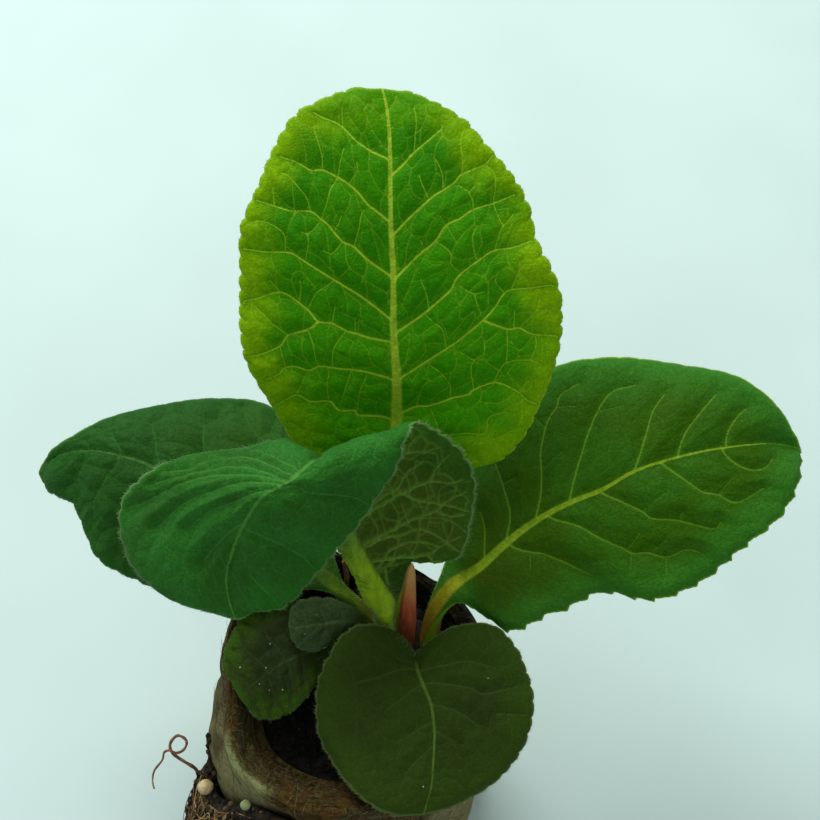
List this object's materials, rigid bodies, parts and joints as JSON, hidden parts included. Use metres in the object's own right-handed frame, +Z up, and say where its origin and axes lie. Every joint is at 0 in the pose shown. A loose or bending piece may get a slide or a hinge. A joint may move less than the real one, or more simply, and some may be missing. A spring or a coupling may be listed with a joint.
{
  "type": "potted primrose plant",
  "caption": "Young double primrose before flowering: a rosette of wrinkled, scalloped leaves on short stalks rising from a soil plug in a soft fibre sleeve.",
  "frame": {"origin": "centre of the flat underside of the soil plug's sleeve", "axes": "+Z up along the plug; the picture looks along +Y and down, with +X to its right"},
  "size_m": [0.139, 0.1103, 0.1204],
  "materials": {
    "fibre": "thin pressed fibre, matt and slightly fluffy",
    "soil": "damp crumbly peat soil",
    "crown": "rough brown rootstock",
    "pale_leaf": "soft yellow-green leaf, wrinkled, light passes through",
    "green_leaf": "soft dark green leaf, wrinkled, with a pale sheen",
    "dark_leaf": "soft grey-green leaf with fine down",
    "shoot": "smooth, moist young growth",
    "dry_plant": "dry and brown",
    "pellet": "dull coated grain"
  },
  "bodies": {
    "root": {"fibre_sleeve": "fibre", "soil": "soil", "side_soil": "soil", "crown": "crown", "leaf_back": "pale_leaf", "leaf_right": "green_leaf", "leaf_arching": "green_leaf", "leaf_left": "green_leaf", "leaf_front": "dark_leaf", "leaf_low_left": "dark_leaf", "leaf_small": "dark_leaf", "young_shoot": "shoot", "withered_stalk": "dry_plant", "loose_root": "dry_plant", "feed_pellet_large": "pellet", "feed_pellet_small": "pellet"}
  },
  "joints": []
}
